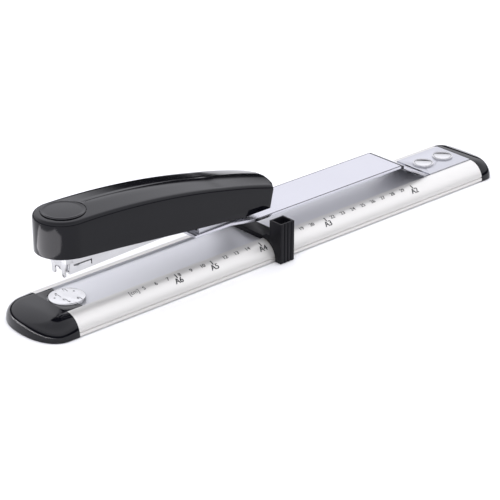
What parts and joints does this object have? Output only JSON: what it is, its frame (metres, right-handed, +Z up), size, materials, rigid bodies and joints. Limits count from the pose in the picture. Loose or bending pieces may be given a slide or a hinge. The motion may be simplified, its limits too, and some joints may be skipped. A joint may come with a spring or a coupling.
{
  "type": "long-reach stapler",
  "caption": "Long-reach booklet stapler: hollow aluminium base with a sliding paper stop and turning anvil, a hinged steel arm and a stapling head with a sprung black handle.",
  "frame": {"origin": "on the table, under the middle of the base's length and width", "axes": "+X runs from the stapling end to the rear end along the length, +Y across to the far side, +Z up"},
  "size_m": [0.4184, 0.0712, 0.0753],
  "materials": {
    "anodised_aluminium": "satin silver anodised extrusion",
    "gloss_black": "glossy black moulded plastic",
    "satin_black": "satin black moulded plastic",
    "arm_steel": "satin nickel-plated sheet",
    "brushed_steel": "zinc-plated sheet",
    "nickel": "bright nickel plate",
    "spring_steel": "plain spring steel",
    "staple_wire": "galvanised wire",
    "rubber": "black rubber"
  },
  "bodies": {
    "base": {"base_profile": "anodised_aluminium", "front_cap": "gloss_black", "rear_cap": "gloss_black", "foot_front_near": "rubber", "foot_front_far": "rubber", "foot_rear_near": "rubber", "foot_rear_far": "rubber", "cap_screw_front_near": "spring_steel", "cap_screw_front_far": "spring_steel", "cap_screw_rear_near": "spring_steel", "cap_screw_rear_far": "spring_steel", "rear_plate": "brushed_steel", "plate_rivet_front": "nickel", "plate_rivet_rear": "nickel", "arm_hinge_pin": "spring_steel", "anvil_spring_washer": "spring_steel", "anvil_retaining_clip": "spring_steel", "arm_spring_near": "spring_steel", "arm_spring_far": "spring_steel"},
    "anvil": {"anvil": "nickel"},
    "stop": {"paper_stop": "satin_black", "stop_brake_pad": "rubber"},
    "arm": {"arm_plate": "arm_steel", "head_bracket": "brushed_steel", "bracket_rivet_front": "nickel", "bracket_rivet_rear": "nickel", "magazine_rivet_near": "nickel", "magazine_rivet_far": "nickel", "magazine_channel": "nickel", "nose_plate": "nickel", "staple_rail": "brushed_steel", "staple_strip": "staple_wire", "spring_seat": "brushed_steel", "pusher_guide_rod": "spring_steel", "pusher_spring": "spring_steel", "magazine_bridge": "brushed_steel", "handle_pin": "spring_steel", "handle_pin_clip": "spring_steel", "handle_spring": "spring_steel"},
    "pusher": {"pusher": "satin_black"},
    "handle": {"handle_shell": "gloss_black", "thumb_pad": "gloss_black", "handle_lever": "brushed_steel", "shell_screw_front": "spring_steel", "shell_screw_rear": "spring_steel", "driver_blade": "spring_steel", "blade_rivet": "nickel"}
  },
  "joints": [
    {"name": "arm_hinge", "type": "hinge", "parent": "base", "child": "arm", "pos_m": [0.14825, 0, 0.0114], "axis": [0, -1, 0], "range_deg": [0, 2.9], "stiffness_Nm_per_rad": 5, "springref_deg": -17.19, "deforming": ["arm_spring_near", "arm_spring_far"]},
    {"name": "handle_hinge", "type": "hinge", "parent": "arm", "child": "handle", "pos_m": [-0.02275, 0, 0.043], "axis": [0, -1, 0], "range_deg": [-55, 5.5], "stiffness_Nm_per_rad": 1.2, "springref_deg": -6.88, "deforming": ["handle_spring"]},
    {"name": "pusher_slide", "type": "slide", "parent": "arm", "child": "pusher", "axis": [0.9996, 0, 0.0297], "range_m": [0, 0.07], "stiffness_N_per_m": 20, "springref_m": -0.1, "deforming": ["pusher_spring"]},
    {"name": "anvil_turn", "type": "hinge", "parent": "base", "child": "anvil", "pos_m": [-0.17125, 0, 0.0127], "axis": [0, 0, 1], "continuous": true},
    {"name": "stop_slide", "type": "slide", "parent": "base", "child": "stop", "axis": [1, 0, 0], "range_m": [-0.1039, 0.1431]}
  ]
}
